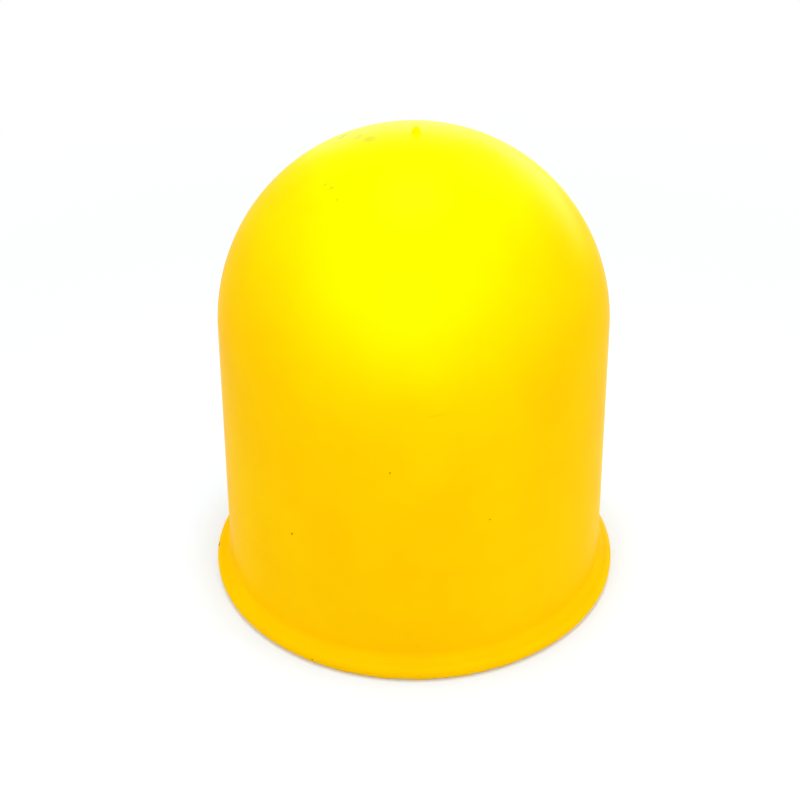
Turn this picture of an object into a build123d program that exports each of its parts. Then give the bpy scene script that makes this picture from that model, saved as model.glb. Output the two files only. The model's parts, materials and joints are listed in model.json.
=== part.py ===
from build123d import *
import os
from math import asin, atan2, cos, degrees, radians, sin, sqrt, tan

# Tow ball cover: a soft cap, moulded in one piece, that pulls down over a towing ball.
# The origin is on the cap's axis in the plane that the rim stands on, and +Z runs up to the crown.

# Driving dimensions, in millimetres and degrees
BALL_DIAMETER = 50.0    # towing ball that the cap covers
BALL_CLEARANCE = 0.25   # room all round between the ball and the socket
WALL = 2.25             # thickness of the dome
BALL_HEIGHT = 40.5      # ball's centre above the foot of the rim
LAND_DEPTH = 10.0       # straight band of the socket, below the ball's centre
DRAFT = 1.45            # flare of the skirt, which lets the cap leave its mould
RIM_OVERHANG = 2.05     # reach of the rim beyond the foot of the skirt
LIP_RADIUS = 1.1        # roundness of the rim's outer lip
ROOT_RADIUS = 1.5       # hollow curve that carries the skirt out into the lip
MOUTH_RADIUS = 0.8      # rounding of the rim's inner edge
GATE_DIAMETER = 1.4     # moulding gate's pip, where it stands on the dome
GATE_HEIGHT = 0.9       # pip above the dome
GATE_TAPER = 18.0       # slope of the pip's side
GATE_TIP_RADIUS = 0.25  # rounding of the pip's tip
GATE_ROOT_RADIUS = 0.35 # rounding where the pip meets the dome
GATE_OFFSET = 0.45      # pip's distance from the cap's axis, towards +X

# Sizes that follow from them
socket_radius = BALL_DIAMETER / 2 + BALL_CLEARANCE
dome_radius = socket_radius + WALL
slope = radians(DRAFT)
mouth_radius = socket_radius + (BALL_HEIGHT - LAND_DEPTH) * tan(slope)
skirt_foot_radius = dome_radius / cos(slope) + BALL_HEIGHT * tan(slope)
rim_radius = skirt_foot_radius + RIM_OVERHANG

# The skirt's outer wall touches the dome where the dome's own slope equals the draft.
wall_normal = Vector(cos(slope), sin(slope))
wall_up = Vector(-sin(slope), cos(slope))
dome_centre = Vector(0, BALL_HEIGHT)
wall_top = dome_centre + wall_normal * dome_radius

# The hollow root curve touches both the wall and the lip, so its centre lies one root radius
# off the wall, and one root radius plus one lip radius from the lip's centre.
lip_centre = Vector(rim_radius - LIP_RADIUS, LIP_RADIUS)
lip_from_wall = (lip_centre - wall_top).dot(wall_normal)
root_across = ROOT_RADIUS - lip_from_wall
root_above = sqrt((ROOT_RADIUS + LIP_RADIUS) ** 2 - root_across**2)
root_centre = lip_centre + wall_normal * root_across + wall_up * root_above
root_top = root_centre - wall_normal * ROOT_RADIUS
lip_to_root = root_centre - lip_centre
lip_end_angle = degrees(atan2(lip_to_root.Y, lip_to_root.X))

# The pip stands square on the dome, on a line through the dome's centre.
gate_tilt = asin(GATE_OFFSET / dome_radius)
gate_across = Vector(cos(gate_tilt), 0, -sin(gate_tilt))
gate_up = Vector(sin(gate_tilt), 0, cos(gate_tilt))
gate_plane = Plane(origin=(0, 0, BALL_HEIGHT), x_dir=gate_across, z_dir=(0, -1, 0))
gate_axis = Axis((0, 0, BALL_HEIGHT), gate_up)
gate_seat = sqrt(dome_radius**2 - (GATE_DIAMETER / 2) ** 2)
gate_foot = dome_radius - WALL / 2
gate_top = dome_radius + GATE_HEIGHT
gate_lean = tan(radians(GATE_TAPER))
gate_foot_radius = GATE_DIAMETER / 2 + (gate_seat - gate_foot) * gate_lean
gate_top_radius = GATE_DIAMETER / 2 - (gate_top - gate_seat) * gate_lean


with BuildPart() as ball_cover:
    # Wall section, turned about the cap's axis
    with BuildSketch(Plane.XZ) as section:
        with BuildLine():
            lip = CenterArc(lip_centre, LIP_RADIUS, -90, 90 + lip_end_angle)
            root = TangentArc(lip @ 1, root_top, tangent=lip % 1)
            Line(root @ 1, wall_top)
            dome = CenterArc(dome_centre, dome_radius, DRAFT, 90 - DRAFT)
            socket = CenterArc(dome_centre, socket_radius, 90, -90)
            Line(dome @ 1, socket @ 0)
            land = Line(socket @ 1, (socket_radius, BALL_HEIGHT - LAND_DEPTH))
            Polyline(land @ 1, (mouth_radius, 0), lip @ 0)
        make_face()
        mouth_corner = section.vertices().group_by(Axis.Y)[0].sort_by(Axis.X)[0]
        fillet(mouth_corner, MOUTH_RADIUS)
    revolve(axis=Axis.Z)

    # Moulding gate's pip at the crown
    with BuildSketch(gate_plane) as gate_section:
        with BuildLine():
            Polyline(
                (0, gate_foot),
                (gate_foot_radius, gate_foot),
                (gate_top_radius, gate_top),
                (0, gate_top),
                close=True,
            )
        make_face()
        tip_corner = gate_section.vertices().group_by(Axis.Y)[-1].sort_by(Axis.X)[-1]
        fillet(tip_corner, GATE_TIP_RADIUS)
    revolve(axis=gate_axis)
    fillet(ball_cover.edges(Select.NEW), GATE_ROOT_RADIUS)

ball_cover.part.label = "ball_cover"
os.makedirs("parts", exist_ok=True)
export_step(ball_cover.part, "parts/ball_cover.step")
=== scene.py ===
"""Tow ball cover: a yellow vinyl cap, moulded in one piece, that stands on its rolled rim."""

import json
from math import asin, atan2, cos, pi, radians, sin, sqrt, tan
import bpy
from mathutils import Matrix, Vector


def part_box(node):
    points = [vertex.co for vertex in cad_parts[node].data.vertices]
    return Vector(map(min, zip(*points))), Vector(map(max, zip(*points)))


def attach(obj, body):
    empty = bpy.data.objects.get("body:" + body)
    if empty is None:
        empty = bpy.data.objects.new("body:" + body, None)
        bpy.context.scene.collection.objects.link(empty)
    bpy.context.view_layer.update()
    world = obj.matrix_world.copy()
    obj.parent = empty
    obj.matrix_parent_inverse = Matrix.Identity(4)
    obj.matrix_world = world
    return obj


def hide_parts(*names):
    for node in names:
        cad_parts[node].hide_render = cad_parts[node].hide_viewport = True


bl_info = {
    "name": "Tow Ball Cover",
    "version": (1, 0, 0),
    "blender": (4, 5, 0),
    "location": "View3D > Sidebar > Ball Cover",
    "description": "Models a moulded vinyl tow ball cover in its CAD frame, with its finish and a stage",
    "category": "Add Mesh",
}

from types import SimpleNamespace

import bmesh
import bpy
from mathutils import Euler, Quaternion, Vector

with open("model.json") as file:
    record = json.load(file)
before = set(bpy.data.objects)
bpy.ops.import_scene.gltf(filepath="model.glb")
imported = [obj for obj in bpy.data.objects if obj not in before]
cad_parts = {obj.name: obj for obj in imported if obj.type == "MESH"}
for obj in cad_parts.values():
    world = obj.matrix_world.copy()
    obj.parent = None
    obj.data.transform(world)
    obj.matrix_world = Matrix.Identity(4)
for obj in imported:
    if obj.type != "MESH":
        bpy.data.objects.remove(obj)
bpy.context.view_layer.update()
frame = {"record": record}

MM = 0.001
MOUNTS = {mount["name"]: mount for mount in frame["record"]["mounts"]}
SOCKET = MOUNTS["ball_socket"]
SOCKET_RADIUS = SOCKET["dims"]["r_mm"]
LAND_DEPTH = SOCKET["dims"]["length_mm"]
BALL_HEIGHT = SOCKET["pos_m"][2] / MM + LAND_DEPTH / 2
CAP_LOW, CAP_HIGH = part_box("ball_cover")
RIM_RADIUS = min(CAP_HIGH[0], CAP_HIGH[1], -CAP_LOW[0], -CAP_LOW[1]) / MM

MERGE_DISTANCE = 0.0002 * MM
RIDGE_TOLERANCE = 0.01 * MM
TRIM_SEED = 7
NOISE_LOW, NOISE_HIGH = 0.3, 0.7    # Blender's noise seldom leaves this range
MARK_CORE = 0.3                     # share of a mark's half width that has its full strength
FLOOR_SIDES = 96
SENSOR_WIDTH = 36.0                 # millimetres, as the camera counts them


def linear_colour(hex_colour):
    """Turns an sRGB hex value into linear red, green and blue."""
    channels = [int(hex_colour[i:i + 2], 16) / 255 for i in (0, 2, 4)]
    return tuple(c / 12.92 if c <= 0.04045 else ((c + 0.055) / 1.055) ** 2.4 for c in channels)


def length(name, description, millimetres):
    """A size that the sidebar shows in the scene's own unit of length."""
    return bpy.props.FloatProperty(
        name=name, description=description, default=millimetres * MM,
        min=0.0, precision=5, unit="LENGTH", subtype="DISTANCE",
    )


def angle(name, description, in_degrees):
    """An angle, which the sidebar shows in degrees."""
    return bpy.props.FloatProperty(
        name=name, description=description, default=radians(in_degrees), unit="ROTATION", subtype="ANGLE",
    )


def colour(name, description, hex_colour):
    """A colour, given as sRGB hex and kept as linear light."""
    return bpy.props.FloatVectorProperty(
        name=name, description=description, default=linear_colour(hex_colour),
        size=3, min=0.0, max=1.0, subtype="COLOR",
    )


class CapShape(bpy.types.PropertyGroup):
    """Sizes of the moulded cap."""

    socket_radius: length("Socket radius", "Inside of the dome, which takes the ball", SOCKET_RADIUS)
    land_depth: length("Land depth", "Straight band of the socket below the ball's centre", LAND_DEPTH)
    ball_height: length("Ball height", "Centre of the dome above the foot of the rim", BALL_HEIGHT)
    rim_radius: length("Rim radius", "Outer reach of the rolled rim", RIM_RADIUS)
    wall: length("Wall", "Thickness of the dome", 2.25)
    draft: angle("Draft", "Flare of the skirt, which lets the cap leave its mould", 1.45)
    lip_radius: length("Lip radius", "Roundness of the rim's outer lip", 1.1)
    root_radius: length("Root radius", "Hollow curve that carries the skirt out into the lip", 1.5)
    mouth_radius: length("Mouth radius", "Rounding of the rim's inner edge", 0.8)
    gate_diameter: length("Gate diameter", "Moulding gate's pip where it stands on the dome", 1.4)
    gate_height: length("Gate height", "Pip above the dome", 0.9)
    gate_taper: angle("Gate taper", "Slope of the pip's side", 26.0)
    gate_tip_radius: length("Gate tip radius", "Rounding of the pip's tip", 0.2)
    gate_root_radius: length("Gate root radius", "Rounding where the pip meets the dome", 0.35)
    gate_offset: length("Gate offset", "Pip's distance from the axis, towards +X", 0.45)
    flash_reach: length("Flash reach", "Height of the trimmed mould flash along the lip's foot", 0.08)
    flash_angle: angle("Flash angle", "Place of the flash on the lip, below its widest line", 60.0)
    flash_spread: angle("Flash spread", "Half of the lip's turn that the flash covers", 7.0)
    crease_angle: angle("Crease angle", "Edges that turn by less than this are shaded smooth", 35.0)
    turns: bpy.props.IntProperty(
        name="Turns", description="Faces round the cap", default=256, min=32, max=512,
    )


class VinylFinish(bpy.types.PropertyGroup):
    """Colours of the moulded vinyl and what has marked it."""

    pigment: colour("Pigment", "Yellow of the vinyl", "FFC700")
    cloud: colour("Cloud", "Yellow where the pigment lies a little thicker", "FDC100")
    grime: colour("Grime", "Brown of the specks and of the scratch", "2E1B04")
    film: colour("Film", "Olive green of the smudges, a thin film on the yellow", "309E0E")
    roughness: bpy.props.FloatProperty(
        name="Roughness", description="Satin of the moulded skin",
        default=0.3, min=0.0, max=1.0, subtype="FACTOR",
    )
    roughness_spread: bpy.props.FloatProperty(
        name="Roughness spread", description="How far the grain makes the roughness rise and fall",
        default=0.06, min=0.0, max=0.5, subtype="FACTOR",
    )
    ior: bpy.props.FloatProperty(
        name="IOR", description="Index of refraction, which sets how strong the gloss is",
        default=1.035, min=1.0, max=2.0, precision=3,
    )
    cloud_size: length("Cloud size", "Breadth of the pigment's clouds", 9.0)
    grain_size: length("Grain size", "Breadth of the mould's fine grain", 0.4)
    grain_depth: length("Grain depth", "Depth of the mould's fine grain", 0.004)
    mark_wobble: length("Mark wobble", "How far a mark's edge strays from an oval", 0.1)


class StudioSetup(bpy.types.PropertyGroup):
    """Floor, light and camera."""

    # The floor is faintly blue, because the cap throws a little yellow light on it.
    floor: colour("Floor", "Pale floor", "E6F1FE")
    floor_radius: length("Floor radius", "Reach of the floor from the axis", 1500.0)
    floor_lift: bpy.props.FloatProperty(
        name="Floor lift",
        description="Share of plain white in the floor beside the cap, where it is looked at",
        default=0.2, min=0.0, max=1.0, subtype="FACTOR",
    )
    floor_near: length("Floor near", "Where the floor starts to fade into the white room", 50.0)
    floor_far: length("Floor far", "Where the floor has turned as white as the room", 220.0)
    ambient: bpy.props.FloatProperty(
        name="Ambient", description="Light of the white room on the object", default=0.78, min=0.0,
    )
    camera_place: bpy.props.FloatVectorProperty(
        name="Camera place", description="Where the camera stands", size=3, subtype="TRANSLATION",
        default=(0.0, -167.6077 * MM, 129.3419 * MM),
    )
    camera_aim: bpy.props.FloatVectorProperty(
        name="Camera aim", description="Point at the middle of the picture", size=3, subtype="TRANSLATION",
        default=(-2.0 * MM, 0.0, 26.96 * MM),
    )
    camera_roll: angle("Camera roll", "Lean of the camera about its line of sight", -0.513)
    camera_lens: bpy.props.FloatProperty(
        name="Lens", description="Focal length on a 36 mm sensor",
        default=60.156, subtype="DISTANCE_CAMERA",
    )


class SectionPen:
    """Draws the cap's section, as radius and height, by extruding and spinning its open end."""

    def __init__(self, start):
        self.at = start
        bpy.ops.mesh.select_all(action="SELECT")
        bpy.ops.mesh.merge(type="CENTER")
        bpy.ops.transform.translate(value=(start.x, 0.0, start.y))

    def line(self, end, steps=1):
        step = (end - self.at) / steps
        for _ in range(steps):
            bpy.ops.mesh.extrude_vertices_move(TRANSFORM_OT_translate={"value": (step.x, 0.0, step.y)})
        self.at = end

    def arc(self, centre, end, steps):
        """The short way round a centre, to a point or to the direction of one."""
        begin, finish = self.at - centre, end - centre
        turn = atan2(begin.cross(finish), begin.dot(finish))
        bpy.ops.mesh.spin(steps=steps, angle=turn, center=(centre.x, 0.0, centre.y), axis=(0.0, 1.0, 0.0))
        self.at = centre + finish.normalized() * begin.length


def polar(direction, distance=1.0):
    """A step in the section, at an angle above the level line."""
    return Vector((cos(direction), sin(direction))) * distance


def cap_section(shape):
    """Works out the centres and tangent points that the section is drawn from."""
    at = SimpleNamespace()
    at.dome_centre = Vector((0.0, shape.ball_height))
    at.dome_radius = shape.socket_radius + shape.wall
    normal, up = polar(shape.draft), polar(shape.draft + pi / 2)
    at.wall_top = at.dome_centre + normal * at.dome_radius

    # The hollow root touches both the wall and the lip.
    at.lip_centre = Vector((shape.rim_radius - shape.lip_radius, shape.lip_radius))
    lip_from_wall = (at.lip_centre - at.wall_top).dot(normal)
    across = shape.root_radius - lip_from_wall
    above = sqrt((shape.root_radius + shape.lip_radius) ** 2 - across**2)
    at.root_centre = at.lip_centre + normal * across + up * above
    at.root_top = at.root_centre - normal * shape.root_radius
    at.lip_top = at.lip_centre + (at.root_centre - at.lip_centre).normalized() * shape.lip_radius

    # The flash is a low ridge near the foot of the lip.
    at.flash_top = at.lip_centre + polar(shape.flash_spread - shape.flash_angle, shape.lip_radius)
    at.flash_edge = at.lip_centre + polar(-shape.flash_angle, shape.lip_radius + shape.flash_reach)
    at.flash_foot = at.lip_centre + polar(-shape.flash_spread - shape.flash_angle, shape.lip_radius)
    at.lip_foot = Vector((at.lip_centre.x, 0.0))

    # The mouth's rounding touches the base and the drafted inner wall.
    at.land_foot = Vector((shape.socket_radius, shape.ball_height - shape.land_depth))
    at.land_top = Vector((shape.socket_radius, shape.ball_height))
    mouth_corner = Vector((shape.socket_radius + at.land_foot.y * tan(shape.draft), 0.0))
    mouth_reach = shape.mouth_radius / tan((pi / 2 + shape.draft) / 2)
    at.mouth_foot = mouth_corner + Vector((mouth_reach, 0.0))
    at.mouth_centre = at.mouth_foot + Vector((0.0, shape.mouth_radius))
    at.mouth_top = mouth_corner + up * mouth_reach
    at.socket_pole = at.dome_centre + Vector((0.0, shape.socket_radius))

    # The pip is drawn on the axis, and leans to its place once the section has been spun.
    half = shape.gate_diameter / 2
    side_up, side_out = polar(shape.gate_taper + pi / 2), polar(shape.gate_taper)
    seat = Vector((half, sqrt(at.dome_radius**2 - half**2)))
    gate_top = at.dome_radius + shape.gate_height
    corner = seat + side_up * ((gate_top - seat.y) / side_up.y)
    tip_reach = shape.gate_tip_radius * tan((pi / 2 - shape.gate_taper) / 2)
    tip_foot = corner - side_up * tip_reach
    at.tip_pole = at.dome_centre + Vector((0.0, gate_top))
    at.tip_edge = at.dome_centre + corner - Vector((tip_reach, 0.0))
    at.tip_centre = at.tip_edge - Vector((0.0, shape.gate_tip_radius))
    at.tip_foot = at.dome_centre + tip_foot
    start = seat + side_out * shape.gate_root_radius
    reach = at.dome_radius + shape.gate_root_radius
    along = start.dot(side_up)
    climb = sqrt(along**2 + reach**2 - start.dot(start)) - along
    fillet = start + side_up * climb
    at.fillet_centre = at.dome_centre + fillet
    at.fillet_top = at.dome_centre + seat + side_up * climb
    at.fillet_foot = at.dome_centre + fillet.normalized() * at.dome_radius
    return at


def draw_section(at):
    """Draws the whole wall, from the pip's tip down the outside, round the rim and up the socket."""
    pen = SectionPen(at.tip_pole)
    pen.line(at.tip_edge, steps=2)
    pen.arc(at.tip_centre, at.tip_foot, steps=6)
    pen.line(at.fillet_top, steps=2)
    pen.arc(at.fillet_centre, at.fillet_foot, steps=6)
    pen.arc(at.dome_centre, at.wall_top, steps=48)
    pen.line(at.root_top, steps=14)
    pen.arc(at.root_centre, at.lip_top, steps=10)
    pen.arc(at.lip_centre, at.flash_top, steps=16)
    pen.line(at.flash_edge)
    pen.line(at.flash_foot)
    pen.arc(at.lip_centre, at.lip_foot, steps=3)
    pen.line(at.mouth_foot, steps=3)
    pen.arc(at.mouth_centre, at.mouth_top, steps=6)
    pen.line(at.land_foot, steps=10)
    pen.line(at.land_top, steps=4)
    pen.arc(at.dome_centre, at.socket_pole, steps=28)


def select_vertices(mesh, indices):
    """Selects these vertices alone, in edit mode."""
    bpy.ops.mesh.select_all(action="DESELECT")
    edit = bmesh.from_edit_mesh(mesh)
    edit.verts.ensure_lookup_table()
    for index in indices:
        edit.verts[index].select_set(True)
    edit.select_flush(True)
    bmesh.update_edit_mesh(mesh)


def lean_gate(mesh, shape, at):
    """Leans the pip off the axis. The dome's rings follow it less and less, so the dome stays round."""
    lean = asin(shape.gate_offset / at.dome_radius)
    # The pip and the dome close to it move as one, and rings past the second angle stay where they are.
    rigid, still = radians(4.0), radians(40.0)
    middle_of_wall = (shape.socket_radius + at.dome_radius) / 2
    rings = {}
    for vertex in bmesh.from_edit_mesh(mesh).verts:
        arm = vertex.co - Vector((0.0, 0.0, shape.ball_height))
        tilt = arm.angle(Vector((0.0, 0.0, 1.0)))
        if arm.length > middle_of_wall and tilt < still:
            share = min(1.0, (still - tilt) / (still - rigid))
            rings.setdefault(round(share, 4), []).append(vertex.index)
    for share, indices in rings.items():
        select_vertices(mesh, indices)
        eased = share * share * (3 - 2 * share)
        bpy.ops.transform.rotate(
            value=-lean * eased, orient_axis="Y", orient_type="GLOBAL",
            center_override=(0.0, 0.0, shape.ball_height),
        )


def trim_flash(mesh, shape, at):
    """Leaves the flash ragged, as a knife does that trims it by hand."""
    edit = bmesh.from_edit_mesh(mesh)
    ridge = [
        vertex.index for vertex in edit.verts
        if (Vector((vertex.co.xy.length, vertex.co.z)) - at.flash_edge).length < RIDGE_TOLERANCE
    ]
    if not ridge:
        raise RuntimeError("The flash's ridge wasn't found on the lip.")
    select_vertices(mesh, ridge)
    bpy.ops.transform.vertex_random(offset=shape.flash_reach, uniform=0.0, normal=1.0, seed=TRIM_SEED)


def add_node(tree, kind, settings=None, inputs=None):
    """Adds a node with its settings; an input is a value, or another node's output to link."""
    node = tree.nodes.new(kind)
    for name, value in (settings or {}).items():
        setattr(node, name, value)
    for name, value in (inputs or {}).items():
        if isinstance(value, bpy.types.NodeSocket):
            tree.links.new(value, node.inputs[name])
        else:
            node.inputs[name].default_value = value
    return node


def new_material(name):
    """An empty node material and its output node."""
    material = bpy.data.materials.new(name)
    material.use_nodes = True
    material.node_tree.nodes.clear()
    return material, add_node(material.node_tree, "ShaderNodeOutputMaterial")


# Marks on the outside: azimuth from the front towards +X in degrees, height, width and length up the wall
# in millimetres, slant in degrees, and strength. The last of the specks is a scratch.
SPECKS = (
    (-6.3, 32.9, 0.34, 0.46, 0.0, 0.65),
    (-36.1, 19.6, 0.48, 0.58, 0.0, 0.68),
    (20.9, 24.5, 0.32, 0.36, 0.0, 0.75),
    (-87.0, 1.5, 1.30, 1.10, 0.0, 0.90),
    (-27.8, 0.9, 0.60, 0.50, 0.0, 0.55),
    (1.0, 4.6, 0.40, 0.50, 0.0, 0.12),
    (6.0, 41.4, 3.40, 0.50, -11.0, 0.12),
)
SMUDGES = (
    (-112.8, 66.0, 5.00, 2.80, 0.0, 0.65),
    (-101.0, 67.0, 4.20, 2.60, 0.0, 0.61),
    (-84.0, 67.4, 4.00, 3.60, 0.0, 0.58),
    (-53.1, 64.2, 0.70, 0.70, 0.0, 0.63),
    (-39.3, 63.5, 0.60, 0.60, 0.0, 0.61),
    (-47.5, 64.2, 0.80, 1.00, 30.0, 0.57),
    (-1.0, 31.0, 0.80, 0.60, 20.0, 0.10),
    (-80.0, 51.5, 1.20, 1.20, 0.0, 0.20),
    (-62.0, 51.9, 1.40, 1.60, 0.0, 0.12),
)


def outside_point(at, azimuth, height):
    """A point on the outside of the dome, the wall or the lip, and how far its face tilts up."""
    if height > at.wall_top.y:
        tilt = asin((height - at.dome_centre.y) / at.dome_radius)
        radius = at.dome_radius * cos(tilt)
    elif height > at.root_top.y:
        share = (height - at.root_top.y) / (at.wall_top.y - at.root_top.y)
        tilt = 0.0
        radius = at.root_top.lerp(at.wall_top, share).x
    else:
        tilt = 0.0
        lip_radius = at.lip_centre.y
        rise = min(abs(height - lip_radius), lip_radius)
        radius = max(at.root_top.x, at.lip_centre.x + sqrt(lip_radius**2 - rise**2))
    return Vector((radius * sin(azimuth), -radius * cos(azimuth), height)), tilt


def oval_mark(tree, point, place, size, turn, strength):
    """How much of a mark lies at a point: its strength in the middle of an oval, nothing past the edge."""
    oval = add_node(tree, "ShaderNodeMapping", {"vector_type": "TEXTURE"}, {
        "Vector": point, "Location": place, "Rotation": turn, "Scale": size,
    })
    middle = add_node(tree, "ShaderNodeVectorMath", {"operation": "LENGTH"}, {0: oval.outputs["Vector"]})
    fade = add_node(tree, "ShaderNodeMapRange", {"interpolation_type": "SMOOTHSTEP"}, {
        "Value": middle.outputs["Value"], "From Min": MARK_CORE, "From Max": 1.0,
        "To Min": strength, "To Max": 0.0,
    })
    return fade.outputs["Result"]


def moulded_vinyl(finish, at):
    """Soft PVC with a strong yellow pigment: a satin skin, pale at its edges, faintly clouded and marked."""
    material, output = new_material("moulded_vinyl")
    tree = material.node_tree
    point = add_node(tree, "ShaderNodeTexCoord").outputs["Object"]

    # The pigment lies in faint clouds, as soft vinyl does that cools in its mould.
    clouds = add_node(tree, "ShaderNodeTexNoise", inputs={
        "Vector": point, "Scale": 1.0 / finish.cloud_size, "Detail": 3.0, "Roughness": 0.5,
    })
    spread = add_node(tree, "ShaderNodeMapRange", inputs={
        "Value": clouds.outputs["Fac"], "From Min": NOISE_LOW, "From Max": NOISE_HIGH,
    })
    skin = add_node(tree, "ShaderNodeMix", {"data_type": "RGBA"}, {
        0: spread.outputs["Result"], 6: (*finish.pigment, 1.0), 7: (*finish.cloud, 1.0),
    }).outputs[2]

    # Specks, a scratch and smudges, each an oval with a ragged edge.
    ragged = add_node(tree, "ShaderNodeTexNoise", inputs={
        "Vector": point, "Scale": 0.5 / finish.mark_wobble, "Detail": 2.0,
    })
    stray = add_node(tree, "ShaderNodeVectorMath", {"operation": "MULTIPLY_ADD"}, {
        0: ragged.outputs["Color"], 1: [2 * finish.mark_wobble] * 3, 2: [-finish.mark_wobble] * 3,
    })
    moved = add_node(tree, "ShaderNodeVectorMath", {"operation": "ADD"}, {
        0: point, 1: stray.outputs["Vector"],
    })
    marks = [(finish.grime, *speck) for speck in SPECKS] + [(finish.film, *smudge) for smudge in SMUDGES]
    for dirt, azimuth, height, width, rise, slant, strength in marks:
        place, tilt = outside_point(at, radians(azimuth), height * MM)
        turn = Euler((-tilt, radians(slant), radians(azimuth)), "YXZ").to_matrix().to_euler()
        size = Vector((width, max(width, rise), rise)) * MM / 2
        mark = oval_mark(tree, moved.outputs["Vector"], place, size, turn, strength)
        skin = add_node(tree, "ShaderNodeMix", {"data_type": "RGBA"}, {
            0: mark, 6: skin, 7: (*dirt, 1.0),
        }).outputs[2]

    # The mould's fine grain breaks the sheen up, so the skin is satin. A real one is finer, and is drawn
    # this coarse so that it shows.
    grain = add_node(tree, "ShaderNodeTexNoise", inputs={
        "Vector": point, "Scale": 1.0 / finish.grain_size, "Detail": 2.0,
    })
    satin = add_node(tree, "ShaderNodeMapRange", inputs={
        "Value": grain.outputs["Fac"],
        "To Min": finish.roughness - finish.roughness_spread,
        "To Max": finish.roughness + finish.roughness_spread,
    })
    bump = add_node(tree, "ShaderNodeBump", inputs={
        "Strength": 1.0, "Distance": finish.grain_depth, "Height": grain.outputs["Fac"],
    })
    # Soft PVC has an index of about 1.5. This one is far lower, which keeps the gloss to the edges, so the
    # yellow stays deep on the faces.
    shader = add_node(tree, "ShaderNodeBsdfPrincipled", inputs={
        "Base Color": skin,
        "Roughness": satin.outputs["Result"],
        "IOR": finish.ior,
        "Normal": bump.outputs["Normal"],
    })
    tree.links.new(shader.outputs["BSDF"], output.inputs["Surface"])
    return material


class BALLCOVER_OT_mould_cap(bpy.types.Operator):
    """Mould the cap: draw its section, spin it about the axis, lean the gate's pip and trim the flash"""

    bl_idname = "ball_cover.mould_cap"
    bl_label = "Mould Cap"

    def execute(self, context):
        shape = context.scene.ball_cover_shape
        bpy.ops.object.select_all(action="DESELECT")
        bpy.ops.mesh.primitive_plane_add(size=shape.gate_diameter)
        cap = context.active_object
        cap.name = cap.data.name = "vinyl_cap"
        at = cap_section(shape)
        bpy.ops.object.mode_set(mode="EDIT")
        bpy.ops.mesh.select_mode(type="VERT")
        draw_section(at)
        bpy.ops.mesh.select_all(action="SELECT")
        bpy.ops.mesh.spin(steps=shape.turns, angle=2 * pi, center=(0.0, 0.0, 0.0), axis=(0.0, 0.0, 1.0))
        bpy.ops.mesh.select_all(action="SELECT")
        bpy.ops.mesh.remove_doubles(threshold=MERGE_DISTANCE)
        bpy.ops.mesh.normals_make_consistent(inside=False)
        lean_gate(cap.data, shape, at)
        trim_flash(cap.data, shape, at)
        bpy.ops.object.mode_set(mode="OBJECT")
        bpy.ops.object.shade_smooth_by_angle(angle=shape.crease_angle)
        cap.data.materials.append(moulded_vinyl(context.scene.ball_cover_finish, at))
        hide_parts("ball_cover")
        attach(cap, "root")
        return {"FINISHED"}


def seen_ray(tree):
    """1 where the camera, a reflection or a clear piece looks, and 0 for light on its way to an object."""
    path = add_node(tree, "ShaderNodeLightPath")
    seen = add_node(tree, "ShaderNodeMath", {"operation": "MAXIMUM"}, {
        0: path.outputs["Is Camera Ray"], 1: path.outputs["Is Glossy Ray"],
    })
    return add_node(tree, "ShaderNodeMath", {"operation": "MAXIMUM"}, {
        0: seen.outputs[0], 1: path.outputs["Is Transmission Ray"],
    }).outputs[0]


def matt_paper(studio):
    """White paper under the cap, which takes its shadow, and fades into the white room away from it."""
    material, output = new_material("matt_paper")
    tree = material.node_tree
    paper = add_node(tree, "ShaderNodeBsdfPrincipled", inputs={
        "Base Color": (*studio.floor, 1.0),
        "Roughness": 0.9,
        "Specular IOR Level": 0.0,
    })
    white = add_node(tree, "ShaderNodeEmission", inputs={"Strength": 1.0})
    point = add_node(tree, "ShaderNodeTexCoord").outputs["Object"]
    away = add_node(tree, "ShaderNodeVectorMath", {"operation": "LENGTH"}, {0: point})
    fade = add_node(tree, "ShaderNodeMapRange", {"interpolation_type": "SMOOTHSTEP"}, {
        "Value": away.outputs["Value"], "From Min": studio.floor_near, "From Max": studio.floor_far,
        "To Min": studio.floor_lift, "To Max": 1.0,
    })
    share = add_node(tree, "ShaderNodeMath", {"operation": "MULTIPLY"}, {
        0: seen_ray(tree), 1: fade.outputs["Result"],
    })
    lifted = add_node(tree, "ShaderNodeMixShader", inputs={
        0: share.outputs[0], 1: paper.outputs["BSDF"], 2: white.outputs["Emission"],
    })
    tree.links.new(lifted.outputs["Shader"], output.inputs["Surface"])
    return material


def white_room(studio):
    """A white room: plain white where it is looked at, and a softer light on the object."""
    world = bpy.data.worlds.new("white_room")
    world.use_nodes = True
    tree = world.node_tree
    tree.nodes.clear()
    strength = add_node(tree, "ShaderNodeMix", {"data_type": "FLOAT"}, {
        0: seen_ray(tree), 2: studio.ambient, 3: 1.0,
    })
    room = add_node(tree, "ShaderNodeBackground", inputs={
        "Color": (1.0, 1.0, 1.0, 1.0), "Strength": strength.outputs[0],
    })
    add_node(tree, "ShaderNodeOutputWorld", inputs={"Surface": room.outputs[0]})
    return world


# Lamps: name, place and width in millimetres, power in watts, and whether it lights the matt colour too or
# gives sheen alone. The softboxes stand close to the crown, and the windows far off.
LAMPS = (
    ("front_softbox", (-2, -46, 72), 28, 0.0073, True),
    ("high_softbox", (0, 0, 121), 40, 0.0250, True),
    ("right_softbox", (30, 22, 90), 30, 0.0041, True),
    ("left_window", (-1700, 0, 150), 800, 3.6, True),
    ("right_window", (1650, -450, 150), 800, 6.8, True),
    ("overhead_window", (0, 0, 1800), 800, 12.3, True),
    ("back_window", (0, 1700, 330), 1200, 18.5, False),
    ("back_right_window", (950, 1420, 150), 1000, 22.0, False),
)
LAMP_AIM = Vector((0.0, 0.0, 40.0)) * MM


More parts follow.
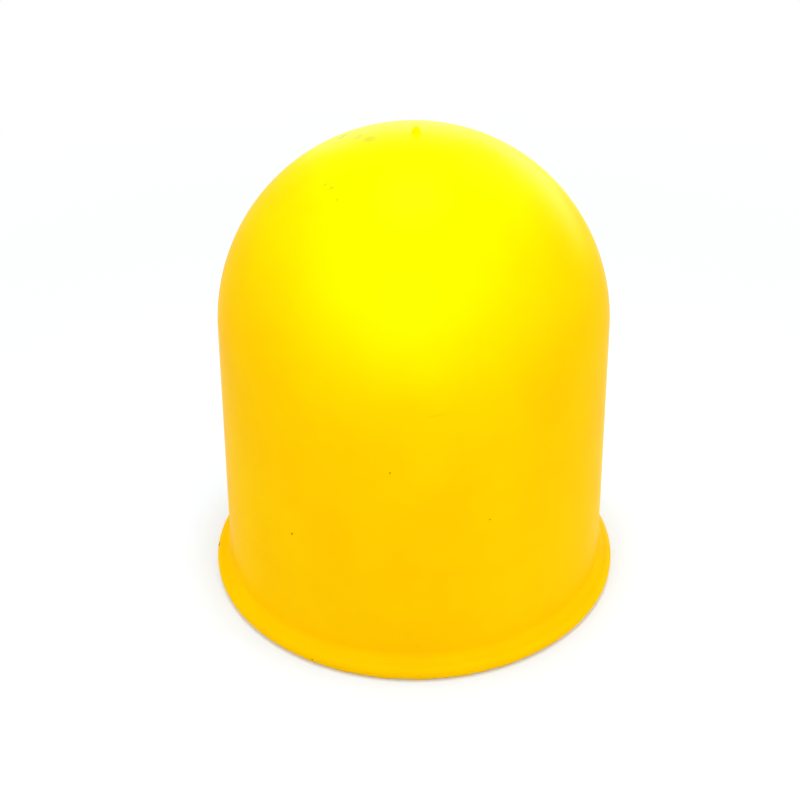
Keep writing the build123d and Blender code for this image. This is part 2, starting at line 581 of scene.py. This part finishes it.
class BALLCOVER_OT_set_stage(bpy.types.Operator):
    """Set the stage: lay the floor, light it softly and place the camera"""

    bl_idname = "ball_cover.set_stage"
    bl_label = "Set Stage"

    def execute(self, context):
        scene = context.scene
        studio = scene.ball_cover_studio
        bpy.ops.object.select_all(action="DESELECT")
        bpy.ops.mesh.primitive_circle_add(
            vertices=FLOOR_SIDES, radius=studio.floor_radius, fill_type="NGON",
        )
        floor = context.active_object
        floor.name = floor.data.name = "studio_floor"
        floor.data.materials.append(matt_paper(studio))

        scene.world = white_room(studio)
        for name, place, width, power, matt in LAMPS:
            place = Vector(place) * MM
            turn = (place - LAMP_AIM).to_track_quat("Z", "Y").to_euler()
            bpy.ops.object.light_add(type="AREA", location=place, rotation=turn)
            lamp = context.active_object
            lamp.name = lamp.data.name = name
            lamp.data.shape = "DISK"
            lamp.data.size = width * MM
            lamp.data.energy = power
            lamp.visible_camera = False
            lamp.visible_diffuse = matt

        place, aim = Vector(studio.camera_place), Vector(studio.camera_aim)
        level = (aim - place).to_track_quat("-Z", "Y")
        turn = level @ Quaternion((0.0, 0.0, 1.0), studio.camera_roll)
        bpy.ops.object.camera_add(location=place, rotation=turn.to_euler())
        camera = context.active_object
        camera.name = "studio_camera"
        camera.data.lens = studio.camera_lens
        camera.data.sensor_width = SENSOR_WIDTH
        camera.data.clip_start = MM
        scene.camera = camera
        scene.view_settings.view_transform = "Standard"
        return {"FINISHED"}


class VIEW3D_PT_ball_cover(bpy.types.Panel):
    """Lists the cap's sizes, its finish and the stage"""

    bl_label = "Tow Ball Cover"
    bl_space_type = "VIEW_3D"
    bl_region_type = "UI"
    bl_category = "Ball Cover"

    def draw(self, context):
        scene = context.scene
        for group, operator in (
            (scene.ball_cover_shape, "ball_cover.mould_cap"),
            (scene.ball_cover_finish, None),
            (scene.ball_cover_studio, "ball_cover.set_stage"),
        ):
            column = self.layout.column(align=True)
            for name in group.bl_rna.properties.keys():
                if name not in ("rna_type", "name"):
                    column.prop(group, name)
            if operator:
                column.operator(operator)


CLASSES = (
    CapShape, VinylFinish, StudioSetup,
    BALLCOVER_OT_mould_cap, BALLCOVER_OT_set_stage, VIEW3D_PT_ball_cover,
)


def register():
    for each in CLASSES:
        bpy.utils.register_class(each)
    bpy.types.Scene.ball_cover_shape = bpy.props.PointerProperty(type=CapShape)
    bpy.types.Scene.ball_cover_finish = bpy.props.PointerProperty(type=VinylFinish)
    bpy.types.Scene.ball_cover_studio = bpy.props.PointerProperty(type=StudioSetup)


def unregister():
    del bpy.types.Scene.ball_cover_studio
    del bpy.types.Scene.ball_cover_finish
    del bpy.types.Scene.ball_cover_shape
    for each in reversed(CLASSES):
        bpy.utils.unregister_class(each)


def main():
    register()
    bpy.ops.ball_cover.mould_cap()
    bpy.ops.ball_cover.set_stage()


if __name__ == "__main__":
    main()
